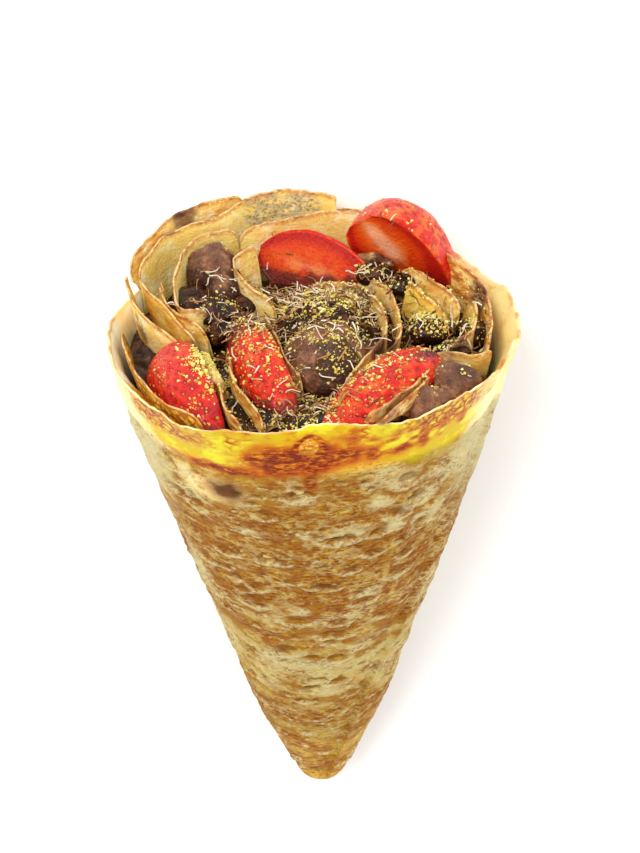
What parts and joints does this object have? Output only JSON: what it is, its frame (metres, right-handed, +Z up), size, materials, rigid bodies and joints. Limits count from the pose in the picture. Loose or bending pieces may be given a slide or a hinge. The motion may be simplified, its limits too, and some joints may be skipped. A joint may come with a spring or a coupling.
{
  "type": "crepe cone",
  "caption": "Rolled crepe cone filled with folded crepe sheets, strawberry halves, chocolate cream, kadaif shreds and pistachio, lying on its back.",
  "frame": {"origin": "on the table, in the middle of the flat strip that the cone lies on, under its centre of mass", "axes": "+Z up; +Y along the table towards the mouth, so the tip is at -Y; +X to the right as seen from above with the mouth at the top"},
  "size_m": [0.112, 0.1963, 0.1101],
  "materials": {
    "crepe_wrap": "pan-fried crepe, browned in lace and blisters, slightly buttery",
    "crepe_sheet": "soft thin crepe, pale edges, brown stains",
    "strawberry": "ripe strawberry, wet skin with seeds, smooth cut flesh",
    "chocolate_cream": "satin chocolate cream",
    "chocolate_filling": "dark glossy chocolate sauce",
    "pistachio": "finely chopped pistachio",
    "kadaif": "toasted shredded pastry, pale cream to golden"
  },
  "bodies": {
    "root": {"crepe_wrap": "crepe_wrap", "strawberry_left": "strawberry", "strawberry_middle": "strawberry", "strawberry_right": "strawberry", "strawberry_back": "strawberry", "strawberry_tall": "strawberry", "chocolate_cream_left": "chocolate_cream", "chocolate_cream_middle": "chocolate_cream", "chocolate_cream_right": "chocolate_cream", "crepe_flap_back_outer": "crepe_sheet", "crepe_flap_back_inner": "crepe_sheet", "crepe_layer_back": "crepe_sheet", "crepe_layer_right": "crepe_sheet", "crepe_curl_left": "crepe_sheet", "crepe_sheet_left_1": "crepe_sheet", "crepe_sheet_left_2": "crepe_sheet", "crepe_sheet_left_3": "crepe_sheet", "crepe_sheet_middle": "crepe_sheet", "crepe_ring_inner": "crepe_sheet", "crepe_ring_outer": "crepe_sheet", "crepe_ring_left": "crepe_sheet", "crepe_fold_right_1": "crepe_sheet", "crepe_fold_right_2": "crepe_sheet", "crepe_fold_right_3": "crepe_sheet", "crepe_fold_right_4": "crepe_sheet", "crepe_lap_front_1": "crepe_sheet", "crepe_lap_front_2": "crepe_sheet", "crepe_sheet_front_1": "crepe_sheet", "crepe_sheet_front_2": "crepe_sheet", "crepe_lip_left": "crepe_sheet", "crepe_roll_back": "crepe_sheet", "crepe_crumbed": "pistachio", "filling": "chocolate_filling"}
  },
  "joints": []
}
